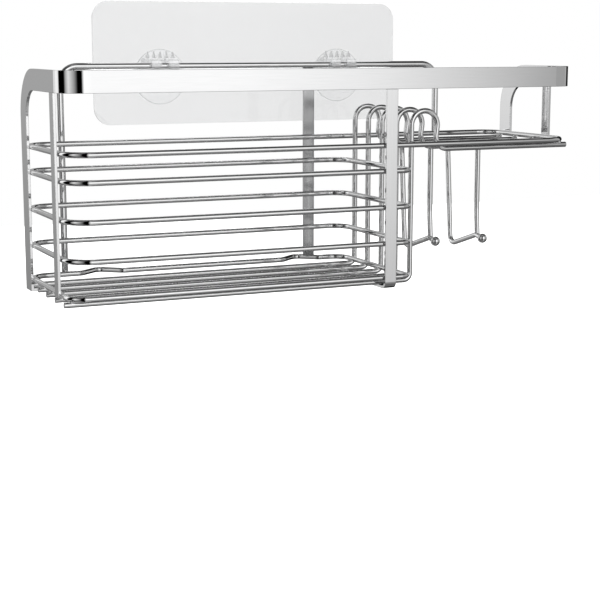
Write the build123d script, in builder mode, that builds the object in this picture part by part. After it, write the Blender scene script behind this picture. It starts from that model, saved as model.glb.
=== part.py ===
"""Wall-hung shower caddy: a deep wire basket with a soap shelf at its right, carried by two
clear clips on an adhesive panel.

Frame: millimetres, +Z up, the wall is the plane Y = 0 and the caddy stands out towards -Y.
The origin is the centre of the adhesive sheet's back face.
"""
from build123d import *
import os

os.makedirs("parts", exist_ok=True)

# ---- Driving dimensions ----------------------------------------------------------------
overall_length = 402.0      # outside of the guard band, left to right
frame_depth = 112.0         # front wire centre to rear wire centre
wall_gap = 16.0             # rear wire centre to the wall
basket_length = 256.0       # wire centre to wire centre, the rest of the length is shelf
wire_diameter = 4.0
hanger_diameter = 5.0
strip_thickness = 2.0
guard_width = 15.0
strut_width = 9.0
bar_below_centre = 2.0      # hanger bar centre below the panel's centre
bar_height = 152.5          # hanger bar centre above the base ring's centre
left_of_centre = 182.0      # left end wire's centre, left of the panel's centre
ring_heights = {"lower_ring": 25.0, "middle_ring": 51.5, "upper_ring": 78.0}
rim_height = 96.5
guard_top_height = 152.0
front_corner_radius = 19.0
rear_corner_radius = 15.0
riser_corner_radius = 6.0   # the basket rings' bend beside the first riser

# ---- Worked out from them --------------------------------------------------------------
wire_radius = wire_diameter / 2
hanger_radius = hanger_diameter / 2
side_build = wire_radius + strip_thickness
frame_length = overall_length - 2 * side_build
left_x = -left_of_centre
basket_right_x = left_x + basket_length
right_x = left_x + frame_length
rear_y = -wall_gap
front_y = rear_y - frame_depth
base_z = -bar_below_centre - bar_height
rim_z = base_z + rim_height
guard_top_z = base_z + guard_top_height
guard_bottom_z = guard_top_z - guard_width


def save(piece, name):
    """Label a finished piece and write it as its own STEP file."""
    piece.part.label = name
    export_step(piece.part, "parts/" + name + ".step")


# ---- Rings: round wire bent to a rounded rectangle and butt-welded ----------------------
def closed_ring(length, height, near_right_radius):
    """A ring of round wire, its left end wire at left_x, centred on the given height."""
    with BuildPart() as ring:
        with BuildLine(Plane.XY.offset(height)) as route:
            near_left = (left_x, front_y)
            near_right = (left_x + length, front_y)
            far_right = (left_x + length, rear_y)
            far_left = (left_x, rear_y)
            FilletPolyline(near_left, near_right, far_right, far_left,
                           radius=[front_corner_radius, near_right_radius,
                                   rear_corner_radius, rear_corner_radius],
                           close=True)
        with BuildSketch(Plane(origin=route.line @ 0, z_dir=route.line % 0)):
            Circle(wire_radius)
        sweep()
    return ring


save(closed_ring(frame_length, rim_z, front_corner_radius), "rim_ring")
for ring_name, ring_height in ring_heights.items():
    save(closed_ring(basket_length, base_z + ring_height, riser_corner_radius), ring_name)

# ---- Base ring: its rear wire has two V bends that stand off against the wall ----------
standoff_half_width = 16.0
standoff_wall_clearance = 0.4
standoff_centres = (55.0, 219.0)    # from the left end wire
standoff_foot_radius = 6.0
base_corner_radius = 13.0
standoff_tip_radius = 7.0
standoff_tip_y = -standoff_wall_clearance - wire_radius

with BuildPart() as base_ring:
    with BuildLine(Plane.XY.offset(base_z)) as base_route:
        corners = [(left_x, front_y), (basket_right_x, front_y), (basket_right_x, rear_y)]
        radii = [base_corner_radius, riser_corner_radius, base_corner_radius]
        for centre in reversed(standoff_centres):
            centre_x = left_x + centre
            corners += [(centre_x + standoff_half_width, rear_y), (centre_x, standoff_tip_y),
                        (centre_x - standoff_half_width, rear_y)]
            radii += [standoff_foot_radius, standoff_tip_radius, standoff_foot_radius]
        corners.append((left_x, rear_y))
        radii.append(base_corner_radius)
        FilletPolyline(*corners, radius=radii, close=True)
    with BuildSketch(Plane(origin=base_route.line @ 0, z_dir=base_route.line % 0)):
        Circle(wire_radius)
    sweep()
save(base_ring, "base_ring")

# ---- Grid wires: floor, riser, hook arch and shelf in one bent wire --------------------
grid_first = 6.5                    # first wire, behind the front wire's centre
grid_pitch = 23.0
grid_count = 5
grid_overhang = 3.5                 # past the left end wire's centre
rear_overhang = 1.5                 # the rear wire stops short, inside the guard band's leg
floor_bend_radius = 5.0
arch_height = 120.5                 # arch's centre line at its top, above the base ring
arch_radius = 10.5
shelf_bend_radius = 9.0
floor_wire_z = base_z - wire_diameter
shelf_wire_z = rim_z - wire_diameter
riser_x = basket_right_x + wire_diameter
arch_right_x = riser_x + 23.0
arch_heel_x = arch_right_x - 3.5    # the arch turns in a little before it runs out
arch_top_z = base_z + arch_height


def grid_wire(index):
    """One floor wire with its arch and its stretch of the shelf."""
    wire_y = front_y + grid_first + index * grid_pitch
    overhang = rear_overhang if index == grid_count - 1 else grid_overhang
    with BuildPart() as grid:
        with BuildLine(Plane(origin=(0, wire_y, 0), x_dir=(1, 0, 0), z_dir=(0, -1, 0))) as route:
            FilletPolyline(
                (left_x - overhang, floor_wire_z),
                (riser_x, floor_wire_z),
                (riser_x, arch_top_z),
                (arch_right_x, arch_top_z),
                (arch_heel_x, shelf_wire_z),
                (right_x + wire_radius / 2, shelf_wire_z),
                radius=[floor_bend_radius, arch_radius, arch_radius, shelf_bend_radius],
            )
        with BuildSketch(Plane(origin=route.line @ 0, z_dir=route.line % 0)):
            Circle(wire_radius)
        sweep()
    return grid


for grid_index in range(grid_count):
    save(grid_wire(grid_index), "grid_wire_" + str(grid_index + 1))

# ---- Hanger: a heavier wire, an inverted U welded to the back of the rings -------------
hanger_left = 27.5                  # leg centres, from the left end wire
hanger_right = 342.0
hanger_bend_radius = 13.0
hanger_y = rear_y + wire_radius + hanger_radius
bar_z = base_z + bar_height

with BuildPart() as hanger_wire:
    with BuildLine(Plane(origin=(0, hanger_y, 0), x_dir=(1, 0, 0), z_dir=(0, -1, 0))) as hanger_route:
        FilletPolyline(
            (left_x + hanger_left, base_z - wire_radius / 2),
            (left_x + hanger_left, bar_z),
            (left_x + hanger_right, bar_z),
            (left_x + hanger_right, rim_z - wire_radius),
            radius=hanger_bend_radius,
        )
    with BuildSketch(Plane(origin=hanger_route.line @ 0, z_dir=hanger_route.line % 0)):
        Circle(hanger_radius)
    sweep()
    leg_ends = hanger_wire.edges().filter_by(GeomType.CIRCLE).group_by(Axis.Z)[0]
    chamfer(leg_ends, 0.5)
save(hanger_wire, "hanger_wire")

# ---- Guard band: polished flat strip round the front, arched down into two legs --------
guard_corner_radius = 20.0          # outer face
arch_inner_radius = 19.0
left_arch_start = 74.5              # where each side starts to turn down, behind the front wire
right_arch_start = 68.0
left_tab_length = 8.0
left_leg_bottom_z = base_z - wire_diameter - wire_radius - strip_thickness
right_leg_bottom_z = rim_z - wire_radius / 2
arch_outer_radius = arch_inner_radius + guard_width
arch_centre_z = guard_top_z - arch_outer_radius
guard_front_y = front_y - side_build


def leg_outline(outer_x, inward, bottom_z, tab_length):
    """The leg seen from the front, with the left one's tab turned in under the floor wires."""
    inner_x = outer_x + inward * strip_thickness
    points = [(outer_x, arch_centre_z), (outer_x, bottom_z)]
    if tab_length:
        tab_x = outer_x + inward * tab_length
        points += [(tab_x, bottom_z), (tab_x, bottom_z + strip_thickness),
                   (inner_x, bottom_z + strip_thickness)]
    else:
        points.append((inner_x, bottom_z))
    points.append((inner_x, arch_centre_z))
    return points


with BuildPart() as guard_band:
    guard_left_x = left_x - side_build
    guard_right_x = right_x + side_build
    half_strip = strip_thickness / 2
    with BuildLine(Plane.XY.offset(guard_bottom_z + guard_width / 2)) as guard_route:
        FilletPolyline(
            (guard_left_x + half_strip, front_y + left_arch_start),
            (guard_left_x + half_strip, guard_front_y + half_strip),
            (guard_right_x - half_strip, guard_front_y + half_strip),
            (guard_right_x - half_strip, front_y + right_arch_start),
            radius=guard_corner_radius - half_strip,
        )
    with BuildSketch(Plane(origin=guard_route.line @ 0, x_dir=(1, 0, 0), z_dir=(0, -1, 0))):
        Rectangle(strip_thickness, guard_width)
    sweep()
    sides = (
        (guard_left_x, 1, left_arch_start, left_leg_bottom_z, left_tab_length),
        (guard_right_x, -1, right_arch_start, right_leg_bottom_z, 0.0),
    )
    for outer_x, inward, arch_start, bottom_z, tab_length in sides:
        # Quarter of a flat ring in the side's own plane, where the strip turns down.
        side_plane = Plane(origin=(outer_x, 0, 0), x_dir=(0, 1, 0), z_dir=(1, 0, 0))
        with BuildSketch(side_plane):
            with Locations((front_y + arch_start, arch_centre_z)):
                Circle(arch_outer_radius)
                Circle(arch_inner_radius, mode=Mode.SUBTRACT)
                Rectangle(arch_outer_radius, arch_outer_radius, align=(Align.MIN, Align.MIN),
                          mode=Mode.INTERSECT)
        extrude(amount=inward * strip_thickness)
        leg_front_y = front_y + arch_start + arch_inner_radius
        leg_plane = Plane(origin=(0, leg_front_y, 0), x_dir=(1, 0, 0), z_dir=(0, -1, 0))
        with BuildSketch(leg_plane):
            with BuildLine():
                Polyline(*leg_outline(outer_x, inward, bottom_z, tab_length), close=True)
            make_face()
        extrude(amount=-guard_width)
save(guard_band, "guard_band")

# ---- Struts: short flat strips that tie the guard band to the rings --------------------
left_strut_from_front = 23.5        # strut centres behind the front wire's centre
right_strut_from_front = 36.5
strut_top_z = guard_bottom_z


def side_strut(outer_x, inward, from_front, bottom_z):
    """A flat strip butted under the guard band and run down outside the rings."""
    height = strut_top_z - bottom_z
    face = Plane(origin=(outer_x, front_y + from_front, bottom_z + height / 2),
                 x_dir=(0, 1, 0), z_dir=(inward, 0, 0))
    with BuildPart() as strut:
        with BuildSketch(face):
            Rectangle(strut_width, height)
        extrude(amount=strip_thickness)
    return strut


left_strut_x = left_x - wire_radius - strip_thickness
right_strut_x = right_x + wire_radius + strip_thickness
left_strut = side_strut(left_strut_x, 1, left_strut_from_front, base_z - wire_radius / 2)
save(left_strut, "left_strut")
right_strut = side_strut(right_strut_x, -1, right_strut_from_front, rim_z - wire_radius)
save(right_strut, "right_strut")

# ---- Front strap: down the front and back under the floor wires ------------------------
front_strap_centre = 238.6          # from the left end wire
strap_bend_radius = 5.0
strap_front_y = front_y - wire_radius - strip_thickness
strap_under_z = floor_wire_z - wire_radius - strip_thickness
strap_end_y = rear_y + wire_radius

with BuildPart() as front_strap:
    strap_side = Plane(origin=(left_x + front_strap_centre - strut_width / 2, 0, 0),
                       x_dir=(0, 1, 0), z_dir=(1, 0, 0))
    with BuildSketch(strap_side):
        with BuildLine():
            Polyline(
                (strap_front_y, strut_top_z),
                (strap_front_y, strap_under_z),
                (strap_end_y, strap_under_z),
                (strap_end_y, strap_under_z + strip_thickness),
                (strap_front_y + strip_thickness, strap_under_z + strip_thickness),
                (strap_front_y + strip_thickness, strut_top_z),
                close=True,
            )
        make_face()
    extrude(amount=strut_width)
    heel = front_strap.edges().filter_by(Axis.X).group_by(Axis.Z)[0].sort_by(Axis.Y)[0]
    fillet(heel, strap_bend_radius)
    inner_heel = front_strap.edges().filter_by(Axis.X).filter_by_position(
        Axis.Y, strap_front_y + 0.9 * strip_thickness, strap_front_y + 1.1 * strip_thickness
    ).sort_by(Axis.Z)[0]
    fillet(inner_heel, strap_bend_radius - strip_thickness)
save(front_strap, "front_strap")

# ---- Rear strap: a flat strip up the back, from the base ring to the hanger bar --------
rear_strap_centre = 227.0           # from the left end wire
rear_strap_y = rear_y + wire_radius
rear_strap_bottom_z = base_z + wire_radius
rear_strap_top_z = bar_z - 2.4      # where the strip meets the curve of the bar

with BuildPart() as rear_strap:
    with BuildSketch(Plane(origin=(left_x + rear_strap_centre, rear_strap_y, rear_strap_bottom_z),
                           x_dir=(1, 0, 0), z_dir=(0, -1, 0))):
        Rectangle(strut_width, rear_strap_top_z - rear_strap_bottom_z,
                  align=(Align.CENTER, Align.MIN))
    extrude(amount=-strip_thickness)
save(rear_strap, "rear_strap")

# ---- Razor hooks: a bent wire under the shelf with a ball on its prong, and a front leg -
hook_centres = {"left": 289.5, "right": 331.0}   # from the left end wire
hook_front_y = front_y + grid_first + grid_pitch
hook_rear_y = front_y + grid_first + 3 * grid_pitch
rear_leg_lean = 7.0                 # forward, from top to heel
hook_top_z = shelf_wire_z - wire_radius
hook_heel_z = base_z + 11.0
hook_crest_z = base_z + 23.0
prong_length = 8.0
prong_drop = 1.5
ball_radius = 3.6
ball_socket_depth = 2.4
hook_heel_radius = 6.0
crest_radius = 8.0
leg_kink_rise = 20.0                # the front leg leans forward below this, above the crest
leg_kink_radius = 30.0
leg_lean = 1.5


def hook_plane(centre):
    """The hook lies in one plane across the shelf, drawn with x along +Y and y along +Z."""
    return Plane(origin=(left_x + centre, 0, 0), x_dir=(0, 1, 0), z_dir=(1, 0, 0))


prong_tip = (hook_front_y - prong_length, hook_crest_z - prong_drop)

for side, centre in hook_centres.items():
    with BuildPart() as razor_hook:
        with BuildLine(hook_plane(centre)) as hook_route:
            FilletPolyline(
                (hook_rear_y, hook_top_z),
                (hook_rear_y - rear_leg_lean, hook_heel_z),
                (hook_front_y, hook_crest_z),
                prong_tip,
                radius=[hook_heel_radius, crest_radius],
            )
        with BuildSketch(Plane(origin=hook_route.line @ 0, z_dir=hook_route.line % 0)):
            Circle(wire_radius)
        sweep()
    save(razor_hook, side + "_razor_hook")

    with BuildPart() as hook_leg:
        with BuildLine(hook_plane(centre)) as leg_route:
            FilletPolyline(
                (hook_front_y, hook_top_z),
                (hook_front_y, hook_crest_z + leg_kink_rise),
                (hook_front_y - leg_lean, hook_crest_z + wire_radius / 2),
                radius=leg_kink_radius,
            )
        with BuildSketch(Plane(origin=leg_route.line @ 0, z_dir=leg_route.line % 0)):
            Circle(wire_radius)
        sweep()
    save(hook_leg, side + "_hook_leg")

    prong_end = hook_route.line @ 1
    prong_direction = hook_route.line % 1
    ball_centre = prong_end + prong_direction * (ball_radius - ball_socket_depth)
    with BuildPart() as hook_ball:
        with Locations(ball_centre):
            Sphere(ball_radius)
        with BuildSketch(Plane(origin=prong_end, z_dir=prong_direction)):
            Circle(wire_radius)
        extrude(amount=-2 * ball_radius, mode=Mode.SUBTRACT)
    save(hook_ball, side + "_hook_ball")

# ---- Adhesive panel: clear sheet with a full-face adhesive layer behind it --------------
panel_length = 252.0
panel_height = 92.0
panel_corner_radius = 13.0
adhesive_thickness = 0.4
panel_thickness = 1.2
panel_front_y = -adhesive_thickness - panel_thickness

wall_plane = Plane(origin=(0, 0, 0), x_dir=(1, 0, 0), z_dir=(0, -1, 0))

with BuildPart() as adhesive_sheet:
    with BuildSketch(wall_plane):
        RectangleRounded(panel_length, panel_height, panel_corner_radius)
    extrude(amount=adhesive_thickness)
save(adhesive_sheet, "adhesive_sheet")

with BuildPart() as clear_panel:
    with BuildSketch(wall_plane.offset(adhesive_thickness)):
        RectangleRounded(panel_length, panel_height, panel_corner_radius)
    extrude(amount=panel_thickness)
    panel_rim = clear_panel.faces().sort_by(Axis.Y)[0].edges()
    fillet(panel_rim, 0.4)
save(clear_panel, "clear_panel")

# ---- Wall clips: clear moulded disc with two side-by-side J hooks that hold the bar ----
clip_spacing = 148.5
disc_radius = 20.8
disc_thickness = 2.0
disc_below_bar = 8.3
jaw_width = 8.0
jaw_pitch = 13.5
jaw_wall = 2.6
bar_clearance = 0.35
lip_above_bar = 2.2
boss_width = 26.0
boss_depth = 3.5
rib_width = 0.9
rib_rise = 5.0
rib_pitch = 5.0
rib_count = 5
bar_axis_z = -bar_below_centre
seat_radius = hanger_radius + bar_clearance
jaw_radius = seat_radius + jaw_wall
disc_front_y = panel_front_y - disc_thickness
boss_front_y = disc_front_y - boss_depth
jaw_back_y = hanger_y + seat_radius
lip_top_z = bar_axis_z + hanger_radius + lip_above_bar
boss_top_z = lip_top_z + 1.0
boss_bottom_z = bar_axis_z - jaw_radius


def wall_clip(centre_x):
    """One clip: disc, boss, two J hooks round the bar and gusset ribs above them."""
    with BuildPart() as clip:
        with BuildSketch(Plane(origin=(centre_x, panel_front_y, bar_axis_z - disc_below_bar),
                               x_dir=(1, 0, 0), z_dir=(0, -1, 0))):
            Circle(disc_radius)
        extrude(amount=disc_thickness)
        fillet(clip.faces().sort_by(Axis.Y)[0].edges(), 0.8)
        with BuildSketch(Plane(origin=(centre_x, disc_front_y, boss_bottom_z),
                               x_dir=(1, 0, 0), z_dir=(0, -1, 0))):
            Rectangle(boss_width, boss_top_z - boss_bottom_z, align=(Align.CENTER, Align.MIN))
        extrude(amount=boss_depth)
        # Each J hook is drawn in side view about the bar's axis.
        for jaw_side in (-1, 1):
            jaw_left_x = centre_x + jaw_side * jaw_pitch / 2 - jaw_width / 2
            with BuildSketch(Plane(origin=(jaw_left_x, 0, 0), x_dir=(0, 1, 0), z_dir=(1, 0, 0))):
                with Locations((hanger_y, bar_axis_z)):
                    Circle(jaw_radius)
                with Locations((hanger_y - jaw_radius, bar_axis_z)):
                    Rectangle(jaw_wall, lip_top_z - bar_axis_z, align=(Align.MIN, Align.MIN))
                with Locations((hanger_y, boss_bottom_z)):
                    Rectangle(disc_front_y - hanger_y, boss_top_z - boss_bottom_z,
                              align=(Align.MIN, Align.MIN))
                with Locations((hanger_y, bar_axis_z)):
                    Circle(seat_radius, mode=Mode.SUBTRACT)
                    Rectangle(2 * seat_radius, 2 * jaw_radius, align=(Align.CENTER, Align.MIN),
                              mode=Mode.SUBTRACT)
            extrude(amount=jaw_width)
        lip_edges = clip.edges().filter_by(Axis.X).group_by(Axis.Y)[0]
        fillet(lip_edges, 0.9)
        # Thin gusset ribs between the top of the boss and the disc.
        for rib_index in range(rib_count):
            rib_x = centre_x + (rib_index - (rib_count - 1) / 2) * rib_pitch - rib_width / 2
            with BuildSketch(Plane(origin=(rib_x, 0, 0), x_dir=(0, 1, 0), z_dir=(1, 0, 0))):
                with BuildLine():
                    Polyline((disc_front_y + 0.5, boss_top_z), (boss_front_y, boss_top_z),
                             (disc_front_y, boss_top_z + rib_rise),
                             (disc_front_y + 0.5, boss_top_z + rib_rise), close=True)
                make_face()
            extrude(amount=rib_width)
    return clip


save(wall_clip(-clip_spacing / 2), "left_wall_clip")
save(wall_clip(clip_spacing / 2), "right_wall_clip")
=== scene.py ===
import math
import random

import bmesh
import bpy
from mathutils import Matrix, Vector


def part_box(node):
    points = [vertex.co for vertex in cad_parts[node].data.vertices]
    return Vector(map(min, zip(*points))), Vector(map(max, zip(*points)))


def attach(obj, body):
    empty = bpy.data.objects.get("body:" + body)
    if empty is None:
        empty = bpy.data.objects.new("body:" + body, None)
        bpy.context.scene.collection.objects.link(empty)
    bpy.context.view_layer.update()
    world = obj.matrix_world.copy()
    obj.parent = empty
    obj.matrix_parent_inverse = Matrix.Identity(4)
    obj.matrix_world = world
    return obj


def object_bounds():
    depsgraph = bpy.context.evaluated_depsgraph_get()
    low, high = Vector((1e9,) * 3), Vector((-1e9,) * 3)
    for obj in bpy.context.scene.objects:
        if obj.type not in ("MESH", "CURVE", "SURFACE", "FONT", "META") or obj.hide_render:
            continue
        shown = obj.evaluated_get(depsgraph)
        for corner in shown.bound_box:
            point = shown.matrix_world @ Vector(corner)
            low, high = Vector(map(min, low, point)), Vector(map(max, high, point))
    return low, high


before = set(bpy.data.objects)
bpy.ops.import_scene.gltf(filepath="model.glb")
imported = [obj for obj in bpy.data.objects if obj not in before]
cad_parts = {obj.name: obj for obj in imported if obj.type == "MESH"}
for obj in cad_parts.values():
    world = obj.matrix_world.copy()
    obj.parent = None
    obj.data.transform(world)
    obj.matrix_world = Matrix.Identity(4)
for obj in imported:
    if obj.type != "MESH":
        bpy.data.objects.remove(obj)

cad_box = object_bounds()

# ---- Adhesive sheet and clear panel ------------------------------------------------------
# A clear plastic sheet with rounded corners, stuck to the wall by a tacky film over its whole
# back. The sheet is glossy, faintly wavy and a little grey to look through; the film is a thin
# see-through haze without refraction of its own.
panel_tint = (0.925, 0.93, 0.935)
panel_ior = 1.46
panel_gloss_grain = 0.004
panel_wave_length = 0.05
panel_wave_height = 0.00004
film_tint = (0.75, 0.755, 0.76)
film_haze = 0.08                     # how much of the light the tacky film stops
film_grain = 0.006
film_grain_height = 0.00001


def new_finish(name, colour, roughness, **even_values):
    """A material whose even colour and values sit on the shader's own sockets."""
    finish = bpy.data.materials.new(name)
    finish.use_nodes = True
    shader = finish.node_tree.nodes["Principled BSDF"]
    shader.inputs["Base Color"].default_value = (*colour, 1.0)
    shader.inputs["Roughness"].default_value = roughness
    for socket, value in even_values.items():
        shader.inputs[socket.replace("_", " ")].default_value = value
    return finish


def grain(finish, size, stretch=(1.0, 1.0, 1.0), detail=5.0):
    """Fine noise fixed to the piece: size in metres, drawn out where stretch is small."""
    tree = finish.node_tree
    place = tree.nodes.new("ShaderNodeTexCoord")
    lie = tree.nodes.new("ShaderNodeMapping")
    noise = tree.nodes.new("ShaderNodeTexNoise")
    lie.inputs["Scale"].default_value = stretch
    noise.inputs["Scale"].default_value = 1.0 / size
    noise.inputs["Detail"].default_value = detail
    tree.links.new(place.outputs["Object"], lie.inputs["Vector"])
    tree.links.new(lie.outputs["Vector"], noise.inputs["Vector"])
    return noise.outputs["Fac"]


def vary(finish, source, socket, low, high):
    """Let the grain move one of the shader's values between low and high."""
    tree = finish.node_tree
    spread = tree.nodes.new("ShaderNodeMapRange")
    spread.inputs["From Min"].default_value = 0.3
    spread.inputs["From Max"].default_value = 0.7
    spread.inputs["To Min"].default_value = low
    spread.inputs["To Max"].default_value = high
    tree.links.new(source, spread.inputs["Value"])
    tree.links.new(spread.outputs["Result"], tree.nodes["Principled BSDF"].inputs[socket])


def tint(finish, source, dark, light):
    """Let the grain move the surface between two close colours."""
    tree = finish.node_tree
    ramp = tree.nodes.new("ShaderNodeValToRGB")
    ramp.color_ramp.elements[0].position = 0.3
    ramp.color_ramp.elements[1].position = 0.7
    ramp.color_ramp.elements[0].color = (*dark, 1.0)
    ramp.color_ramp.elements[1].color = (*light, 1.0)
    tree.links.new(source, ramp.inputs["Fac"])
    tree.links.new(ramp.outputs["Color"], tree.nodes["Principled BSDF"].inputs["Base Color"])


def raise_grain(finish, source, height, strength=1.0):
    """Raise the grain by a height in metres."""
    tree = finish.node_tree
    bump = tree.nodes.new("ShaderNodeBump")
    bump.inputs["Distance"].default_value = height
    bump.inputs["Strength"].default_value = strength
    tree.links.new(source, bump.inputs["Height"])
    tree.links.new(bump.outputs["Normal"], tree.nodes["Principled BSDF"].inputs["Normal"])


def dress(node, finish):
    """Give a carried piece its finish."""
    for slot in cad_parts[node].material_slots:
        slot.material = finish


panel_sheet = new_finish("clear_panel_sheet", panel_tint, 0.03, Transmission_Weight=1.0, IOR=panel_ior)
vary(panel_sheet, grain(panel_sheet, panel_gloss_grain), "Roughness", 0.02, 0.05)
raise_grain(panel_sheet, grain(panel_sheet, panel_wave_length, detail=2.0), panel_wave_height, 0.6)
dress("clear_panel", panel_sheet)

film = new_finish("clear_adhesive_film", film_tint, 0.45, Alpha=film_haze)
vary(film, grain(film, film_grain), "Roughness", 0.35, 0.6)
raise_grain(film, grain(film, film_grain, detail=2.0), film_grain_height, 0.6)
dress("adhesive_sheet", film)

# ---- Wall clips --------------------------------------------------------------------------
# Two clear mouldings glued to the panel: a disc, a boss and two J hooks that carry the bar.
# Clear plastic with the slight flow waves and high gloss of a polished mould, drawn as a
# partly see-through gloss that doesn't refract.
clip_tint = (0.97, 0.975, 0.98)
clip_sheen = 0.8                     # the wet-looking gloss of the moulded skin
clip_haze = 0.42                     # how much of the light the thick moulding stops
clip_gloss_grain = 0.0015
clip_flow_length = 0.004
clip_flow_height = 0.00004

clip_plastic = new_finish("clear_clip_plastic", clip_tint, 0.04, Metallic=clip_sheen, Alpha=clip_haze)
vary(clip_plastic, grain(clip_plastic, clip_gloss_grain), "Roughness", 0.02, 0.08)
raise_grain(clip_plastic, grain(clip_plastic, clip_flow_length, detail=2.0), clip_flow_height, 0.5)
for side in ("left", "right"):
    dress(side + "_wall_clip", clip_plastic)

# ---- Round wires -------------------------------------------------------------------------
# The hanger, the rings and the grid wires are drawn stainless wire, bent, spot-welded and then
# polished as one. Drawing leaves hair-fine lines along each wire under the polish.
steel_dark = (0.91, 0.912, 0.915)
steel_light = (0.965, 0.966, 0.968)
draw_line = 0.00035
draw_line_height = 0.000002
polish_patch = 0.003


def polished_wire(name, stretch):
    """Mirror-bright wire with draw lines along the axis where stretch is small."""
    finish = new_finish(name, steel_light, 0.05, Metallic=1.0)
    lines = grain(finish, draw_line, stretch)
    tint(finish, grain(finish, polish_patch), steel_dark, steel_light)
    vary(finish, lines, "Roughness", 0.025, 0.075)
    raise_grain(finish, lines, draw_line_height, 0.35)
    return finish


along_wire = polished_wire("polished_wire_along", (0.03, 1.0, 1.0))
upright_wire = polished_wire("polished_wire_upright", (1.0, 1.0, 0.03))
for ring in ("rim", "upper", "middle", "lower", "base"):
    dress(ring + "_ring", along_wire)
for number in range(1, 6):
    dress("grid_wire_" + str(number), along_wire)
dress("hanger_wire", along_wire)
for side in ("left", "right"):
    for part in ("_razor_hook", "_hook_leg", "_hook_ball"):
        dress(side + part, upright_wire)

# ---- Flat strips -------------------------------------------------------------------------
# The guard band, its struts and the straps are rolled strip. The faces are polished with the wires,
# over a faint rolling grain; the rear strap is rougher, and its much darker colour is painted shade
# behind the rings.
strip_dark = (0.9, 0.902, 0.905)
strip_light = (0.93, 0.931, 0.934)
# The rear strap's colours are about half as bright as the other strips: painted shade for where it
# stands behind the rings.
rear_shaded_dark = (0.5, 0.502, 0.506)
rear_shaded_light = (0.58, 0.582, 0.586)
edge_round = 0.0005                  # how far polishing has worn the strip's edges round
roll_line = 0.0005
roll_line_height = 0.000002
roll_patch = 0.0012


def polished_strip(name, stretch, dark, light, gloss):
    """Rolled strip with its grain along the axis where stretch is small."""
    finish = new_finish(name, light, gloss, Metallic=1.0)
    rolled = grain(finish, roll_line, stretch, 7.0)
    tint(finish, grain(finish, roll_patch, stretch), dark, light)
    vary(finish, rolled, "Roughness", 0.7 * gloss, 1.4 * gloss)
    raise_grain(finish, rolled, roll_line_height, 0.3)
    tree = finish.node_tree
    worn_edge = tree.nodes.new("ShaderNodeBevel")
    worn_edge.samples = 8
    worn_edge.inputs["Radius"].default_value = edge_round
    tree.links.new(worn_edge.outputs["Normal"], tree.nodes["Bump"].inputs["Normal"])
    return finish


band_finish = polished_strip("polished_band", (0.05, 0.3, 1.0), strip_dark, strip_light, 0.04)
dress("guard_band", band_finish)
upright_strip = polished_strip("polished_strut", (1.0, 1.0, 0.04), strip_dark, strip_light, 0.06)
for node in ("left_strut", "right_strut", "front_strap"):
    dress(node, upright_strip)
# The rear strap: satin roughness, with painted shade in its darker colour.
dress("rear_strap", polished_strip("satin_strap_painted_shade", (1.0, 1.0, 0.04), rear_shaded_dark, rear_shaded_light, 0.14))

# ---- Spot welds --------------------------------------------------------------------------
# Wherever two wires or a strip and a wire touch they are resistance-welded: a small squeezed
# collar of steel round the touching point, slightly uneven and polished over with the rest.
weld_radius = 0.0013
weld_half_height = 0.0006
weld_flare = 0.0005                  # how far the collar spreads where it meets the wires
weld_unevenness = 0.00015
weld_sides = 16
weld_gloss_grain = 0.0006
weld_colour_grain = 0.0009
weld_lump = 0.0005
weld_lump_height = 0.00004
chance = random.Random(7)


def weld_collar(mesh, centre, axis):
    """A short waisted collar about the axis through the touching point, closed at both ends."""
    turn = Vector((0.0, 0.0, 1.0)).rotation_difference(Vector(axis)).to_matrix()
    rows = []
    for level in (-1.0, -0.5, 0.0, 0.5, 1.0):
        row = []
        for side in range(weld_sides):
            angle = 2.0 * math.pi * side / weld_sides
            reach = weld_radius + weld_flare * level * level + chance.uniform(0.0, weld_unevenness)
            spot = Vector((reach * math.cos(angle), reach * math.sin(angle), level * weld_half_height))
            row.append(mesh.verts.new(Vector(centre) + turn @ spot))
        rows.append(row)
    for lower, upper in zip(rows, rows[1:]):
        for side in range(weld_sides):
            after = (side + 1) % weld_sides
            mesh.faces.new((lower[side], lower[after], upper[after], upper[side])).smooth = True
    mesh.faces.new(list(reversed(rows[0])))
    mesh.faces.new(rows[-1])


wire_half = 0.002
left_leg_y = -0.027                  # the middle of each of the guard band's legs
right_leg_y = -0.0335
base_bend_inset = 0.0015             # how far the first wire meets the bends inside the straights
rim_bend_inset = 0.0045
floor_low, floor_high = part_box("base_ring")
rim_low, rim_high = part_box("rim_ring")
hanger_low, hanger_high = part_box("hanger_wire")
hanger_half = (hanger_high.y - hanger_low.y) / 2.0
ring_levels = []
for ring in ("base", "lower", "middle", "upper", "rim"):
    low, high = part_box(ring + "_ring")
    ring_levels.append((low.z + high.z) / 2.0)
up, across, outward = (0.0, 0.0, 1.0), (1.0, 0.0, 0.0), (0.0, 1.0, 0.0)
rear_face = rim_high.y
front_face = rim_low.y
welds = []
for number in range(1, 6):
    low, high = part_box("grid_wire_" + str(number))
    wire_y = (low.y + high.y) / 2.0
    base_inset = base_bend_inset if number == 1 else 0.0
    rim_inset = rim_bend_inset if number == 1 else 0.0
    welds.append(((floor_low.x + wire_half + base_inset, wire_y, floor_low.z), up))
    welds.append(((floor_high.x - wire_half, wire_y, floor_low.z), up))
    welds.append(((rim_high.x - wire_half - rim_inset, wire_y, rim_low.z), up))
    for level in ring_levels[1:4]:
        welds.append(((floor_high.x, wire_y, level), across))
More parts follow.
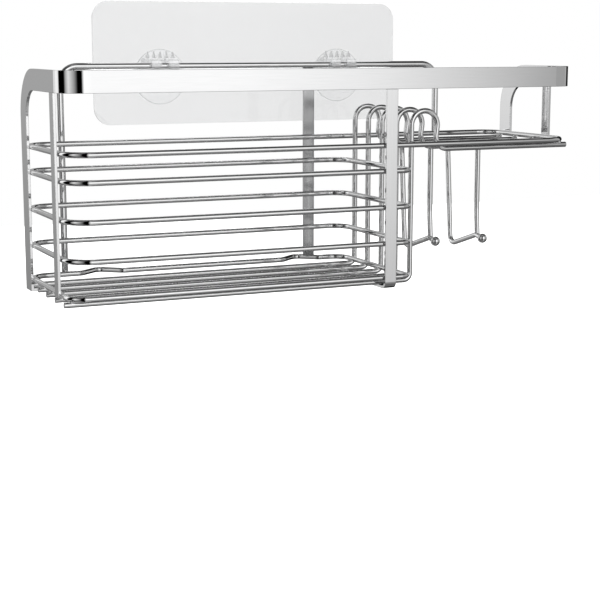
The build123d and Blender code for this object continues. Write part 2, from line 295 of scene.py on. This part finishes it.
for level in ring_levels:
    welds.append(((hanger_low.x + hanger_half, rear_face, level), outward))
    for node, face_y in (("front_strap", front_face), ("rear_strap", rear_face)):
        low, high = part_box(node)
        # The rear strap ends above the base ring, beside one of its bends to the wall.
        if low.z < level:
            welds.append((((low.x + high.x) / 2.0, face_y, level), outward))
    low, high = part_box("left_strut")
    welds.append(((rim_low.x, (low.y + high.y) / 2.0, level), across))
    welds.append(((rim_low.x, left_leg_y, level), across))
welds.append(((hanger_high.x - hanger_half, rear_face, ring_levels[4]), outward))
low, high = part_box("right_strut")
welds.append(((rim_high.x, (low.y + high.y) / 2.0, ring_levels[4]), across))
welds.append(((rim_high.x, right_leg_y, ring_levels[4]), across))
for side in ("left", "right"):
    for node in (side + "_hook_leg", side + "_razor_hook"):
        low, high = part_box(node)
        back = high.y - wire_half
        welds.append((((low.x + high.x) / 2.0, back, high.z), up))

weld_shape = bmesh.new()
for centre, axis in welds:
    weld_collar(weld_shape, centre, axis)
weld_mesh = bpy.data.meshes.new("spot_welds")
weld_shape.to_mesh(weld_mesh)
weld_shape.free()
spot_welds = bpy.data.objects.new("spot_welds", weld_mesh)
bpy.context.scene.collection.objects.link(spot_welds)
weld_finish = new_finish("polished_weld", steel_light, 0.12, Metallic=1.0)
vary(weld_finish, grain(weld_finish, weld_gloss_grain), "Roughness", 0.08, 0.2)
tint(weld_finish, grain(weld_finish, weld_colour_grain), steel_dark, steel_light)
raise_grain(weld_finish, grain(weld_finish, weld_lump), weld_lump_height, 0.5)
weld_mesh.materials.append(weld_finish)
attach(spot_welds, "basket")

# ---- Studio ------------------------------------------------------------------------------
# A plain pale floor well below the hung caddy, one broad soft lamp, and a light tent: white
# walls with dark gaps between them, a dim ceiling and a grey ground, all seen in the steel.
floor_drop = 0.16
floor_half = 1.6
floor_grain = 0.004
floor_grain_height = 0.0002
lamp_strength = 5.4
lamp_spread = 70.0                   # degrees across, so its shadows all but vanish

floor_mesh = bpy.data.meshes.new("pale_floor")
floor_z = cad_box[0].z - floor_drop
floor_corners = [(-1.0, -1.0), (1.0, -1.0), (1.0, 1.0), (-1.0, 1.0)]
floor_mesh.from_pydata(
    [(x * floor_half, y * floor_half, floor_z) for x, y in floor_corners], [], [(0, 1, 2, 3)])
pale_floor = bpy.data.objects.new("pale_floor", floor_mesh)
bpy.context.scene.collection.objects.link(pale_floor)
floor_finish = new_finish("pale_floor_paint", (0.92, 0.92, 0.92), 0.9)
raise_grain(floor_finish, grain(floor_finish, floor_grain), floor_grain_height, 0.3)
floor_mesh.materials.append(floor_finish)
pale_floor.visible_glossy = False

lamp_data = bpy.data.lights.new("broad_soft_lamp", "SUN")
lamp_data.energy = lamp_strength
lamp_data.angle = math.radians(lamp_spread)
broad_lamp = bpy.data.objects.new("broad_soft_lamp", lamp_data)
broad_lamp.location = (0.0, -0.6, 1.0)
broad_lamp.visible_glossy = False
bpy.context.scene.collection.objects.link(broad_lamp)

# Each wall panel of the tent: degrees from straight in front towards the left, brightness.
tent_walls = [
    (-180.0, 0.36), (-150.0, 0.36), (-146.0, 0.02), (-103.0, 0.02), (-100.0, 0.50), (-95.0, 0.50),
    (-92.0, 0.36), (-35.0, 0.36), (-31.6, 0.63), (-27.6, 0.88), (-22.0, 1.04), (10.0, 1.12),
    (16.0, 0.5), (19.0, 0.0), (36.0, 0.0), (41.0, 0.12), (50.0, 0.34), (72.0, 0.78),
    (85.0, 0.36), (91.0, 0.0), (119.0, 0.0), (124.0, 0.9), (140.0, 1.0), (147.0, 0.76),
    (156.0, 0.76), (163.5, 0.38), (180.0, 0.36),
]
# From straight down to straight up, as the sine of the height angle.
tent_heights = [
    (-1.0, 0.36), (-0.30, 0.36), (-0.13, 0.77), (-0.03, 1.0), (0.56, 1.0), (0.68, 0.16),
    (0.86, 0.16), (1.0, 0.40),
]
# What is seen through the clear plastic darkens a little from left to right: painted shade, given only
# to rays that pass through, while the backdrop seen straight on stays white. The two ends are given as
# the X part of the looking direction, with the brightness there.
through_shade_from, through_shade_to = 0.25, 0.55
through_shade_left = 0.93
through_shade_right = 0.80


def brightness_ramp(tree, source, stops, low, high):
    """A ramp of greys over a value that runs from low to high."""
    ramp = tree.nodes.new("ShaderNodeValToRGB")
    spread = tree.nodes.new("ShaderNodeMapRange")
    spread.inputs["From Min"].default_value = low
    spread.inputs["From Max"].default_value = high
    tree.links.new(source, spread.inputs["Value"])
    tree.links.new(spread.outputs["Result"], ramp.inputs["Fac"])
    elements = ramp.color_ramp.elements
    for count, (value, grey) in enumerate(stops):
        position = (value - low) / (high - low)
        stop = elements[count] if count < 2 else elements.new(position)
        stop.position = position
        stop.color = (grey, grey, grey, 1.0)
    return ramp.outputs["Color"]


tent = bpy.data.worlds.new("light_tent")
tent.use_nodes = True
bpy.context.scene.world = tent
tree = tent.node_tree
direction = tree.nodes.new("ShaderNodeTexCoord")
parts = tree.nodes.new("ShaderNodeSeparateXYZ")
flip_x = tree.nodes.new("ShaderNodeMath")
flip_y = tree.nodes.new("ShaderNodeMath")
bearing = tree.nodes.new("ShaderNodeMath")
walls = tree.nodes.new("ShaderNodeMix")
rays = tree.nodes.new("ShaderNodeLightPath")
seen_straight = tree.nodes.new("ShaderNodeMath")
backdrop = tree.nodes.new("ShaderNodeMix")
flip_x.operation = flip_y.operation = "MULTIPLY"
flip_x.inputs[1].default_value = flip_y.inputs[1].default_value = -1.0
bearing.operation = "ARCTAN2"
seen_straight.operation = "MAXIMUM"
tree.links.new(direction.outputs["Generated"], parts.inputs["Vector"])
tree.links.new(parts.outputs["X"], flip_x.inputs[0])
tree.links.new(parts.outputs["Y"], flip_y.inputs[0])
tree.links.new(flip_x.outputs[0], bearing.inputs[0])
tree.links.new(flip_y.outputs[0], bearing.inputs[1])
around = brightness_ramp(
    tree, bearing.outputs[0], [(math.radians(angle), grey) for angle, grey in tent_walls],
    -math.pi, math.pi)
upward = brightness_ramp(tree, parts.outputs["Z"], tent_heights, -1.0, 1.0)
walls.data_type = backdrop.data_type = "RGBA"
walls.blend_type = "MULTIPLY"
walls.inputs["Factor"].default_value = 1.0
tree.links.new(around, walls.inputs[6])
tree.links.new(upward, walls.inputs[7])
tree.links.new(rays.outputs["Is Camera Ray"], seen_straight.inputs[0])
tree.links.new(rays.outputs["Is Transmission Ray"], seen_straight.inputs[1])
tree.links.new(seen_straight.outputs[0], backdrop.inputs["Factor"])
tree.links.new(walls.outputs[2], backdrop.inputs[6])
# Painted shade on the clear plastic: rays through it see a backdrop that darkens from left to right.
behind = tree.nodes.new("ShaderNodeMapRange")
through = tree.nodes.new("ShaderNodeMix")
through.data_type = "RGBA"
behind.inputs["From Min"].default_value = through_shade_from
behind.inputs["From Max"].default_value = through_shade_to
behind.inputs["To Min"].default_value = through_shade_left
behind.inputs["To Max"].default_value = through_shade_right
through.inputs[6].default_value = (1.0, 1.0, 1.0, 1.0)
tree.links.new(parts.outputs["X"], behind.inputs["Value"])
tree.links.new(rays.outputs["Is Transmission Ray"], through.inputs["Factor"])
tree.links.new(behind.outputs["Result"], through.inputs[7])
tree.links.new(through.outputs[2], backdrop.inputs[7])
tree.links.new(backdrop.outputs[2], tree.nodes["Background"].inputs["Color"])

camera_data = bpy.data.cameras.new("camera")
camera_data.sensor_width = 36.0
camera_data.lens = 86.74             # millimetres
camera = bpy.data.objects.new("camera", camera_data)
camera.location = (-0.43665, -1.05592, 0.01567)
camera.rotation_euler = (math.pi / 2 - 0.1766, 0.0, -0.4269)
bpy.context.scene.collection.objects.link(camera)
bpy.context.scene.camera = camera
bpy.context.scene.view_settings.view_transform = "Standard"
